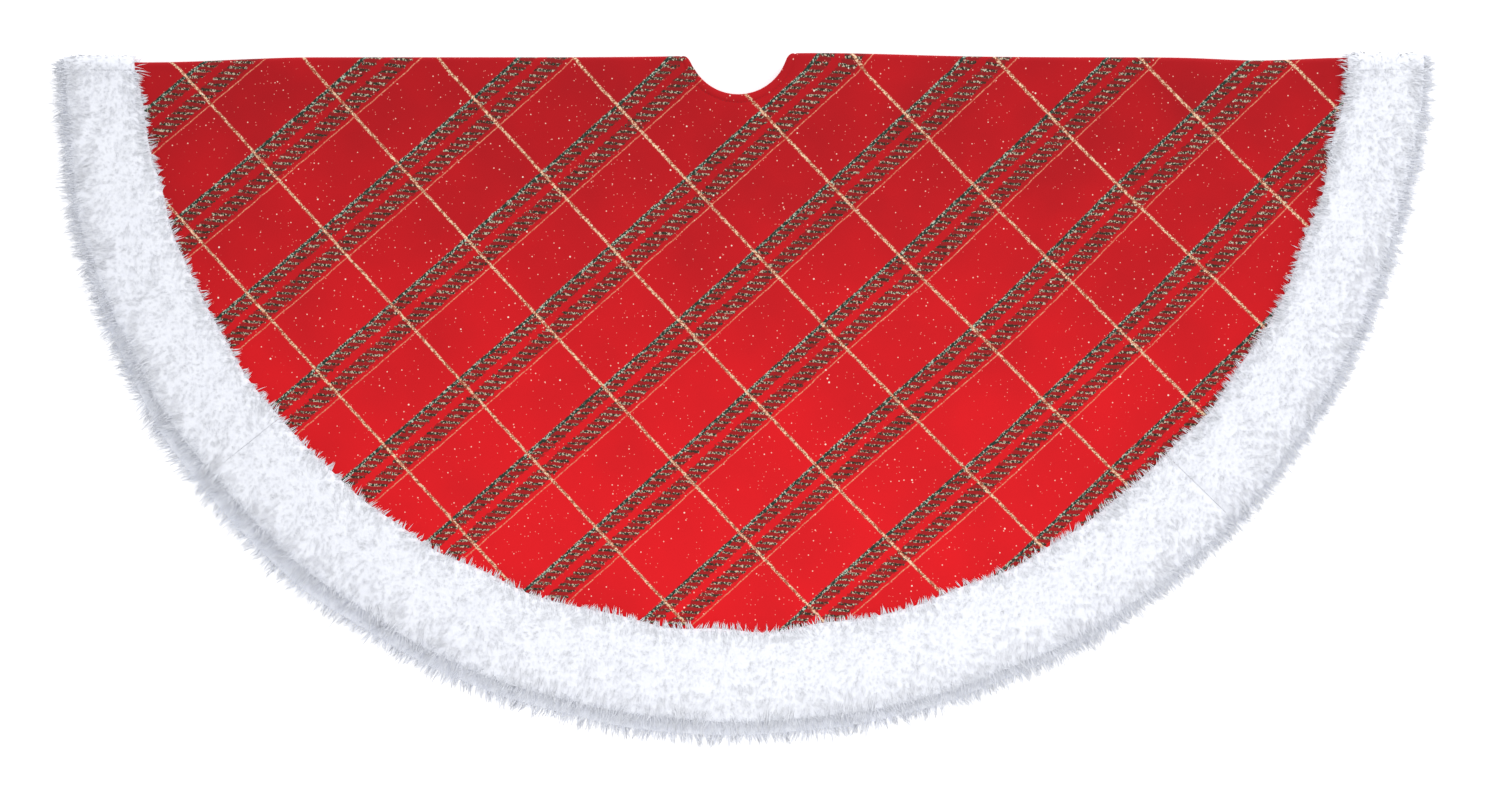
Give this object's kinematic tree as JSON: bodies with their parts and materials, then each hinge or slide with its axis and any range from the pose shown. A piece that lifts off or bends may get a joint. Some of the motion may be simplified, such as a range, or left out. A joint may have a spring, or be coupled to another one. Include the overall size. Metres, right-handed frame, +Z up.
{
  "type": "tree skirt",
  "caption": "Round plaid cloth tree skirt with a wide faux-fur border and a trunk hole, folded in half and lying flat; the lower layer is slit, and its quarters open about the fold line.",
  "frame": {"origin": "centre of the bounding box in X and Y, at the level of the surface that the folded skirt lies on", "axes": "+X along the fold line, to the right with the curved border towards the viewer; +Y from the curved border towards the fold line; +Z up, out of the plaid face of the upper layer"},
  "size_m": [1.22, 0.6078, 0.028],
  "materials": {
    "plaid_cloth": "woven, matt, with a glitter plaid print",
    "lining_cloth": "plain woven, soft satin",
    "faux_fur": "long soft pile",
    "stay_tape": "plain woven, matt",
    "hook_tape": "moulded hooks on woven tape",
    "loop_tape": "brushed loops"
  },
  "bodies": {
    "front_half": {"front_face_panel": "plaid_cloth", "front_lining": "lining_cloth", "front_neck_tape": "stay_tape", "left_fur_strip_front": "faux_fur", "middle_fur_strip": "faux_fur", "right_fur_strip_front": "faux_fur"},
    "left_back_quarter": {"left_face_panel": "plaid_cloth", "left_lining": "lining_cloth", "left_neck_tape": "stay_tape", "left_slit_tape": "stay_tape", "left_fur_strip_back": "faux_fur", "hook_tape_1": "hook_tape", "hook_tape_2": "hook_tape", "hook_tape_3": "hook_tape"},
    "right_back_quarter": {"right_face_panel": "plaid_cloth", "right_lining": "lining_cloth", "right_neck_tape": "stay_tape", "right_slit_tape": "stay_tape", "right_fur_strip_back": "faux_fur", "loop_tape_1": "loop_tape", "loop_tape_2": "loop_tape", "loop_tape_3": "loop_tape"}
  },
  "joints": [
    {"name": "left_quarter_fold", "type": "hinge", "parent": "front_half", "child": "left_back_quarter", "pos_m": [-0.3, 0.30434, 0.014], "axis": [1, 0, 0], "range_deg": [0, 179.5]},
    {"name": "right_quarter_fold", "type": "hinge", "parent": "front_half", "child": "right_back_quarter", "pos_m": [0.3, 0.30434, 0.014], "axis": [1, 0, 0], "range_deg": [0, 179.5]}
  ]
}
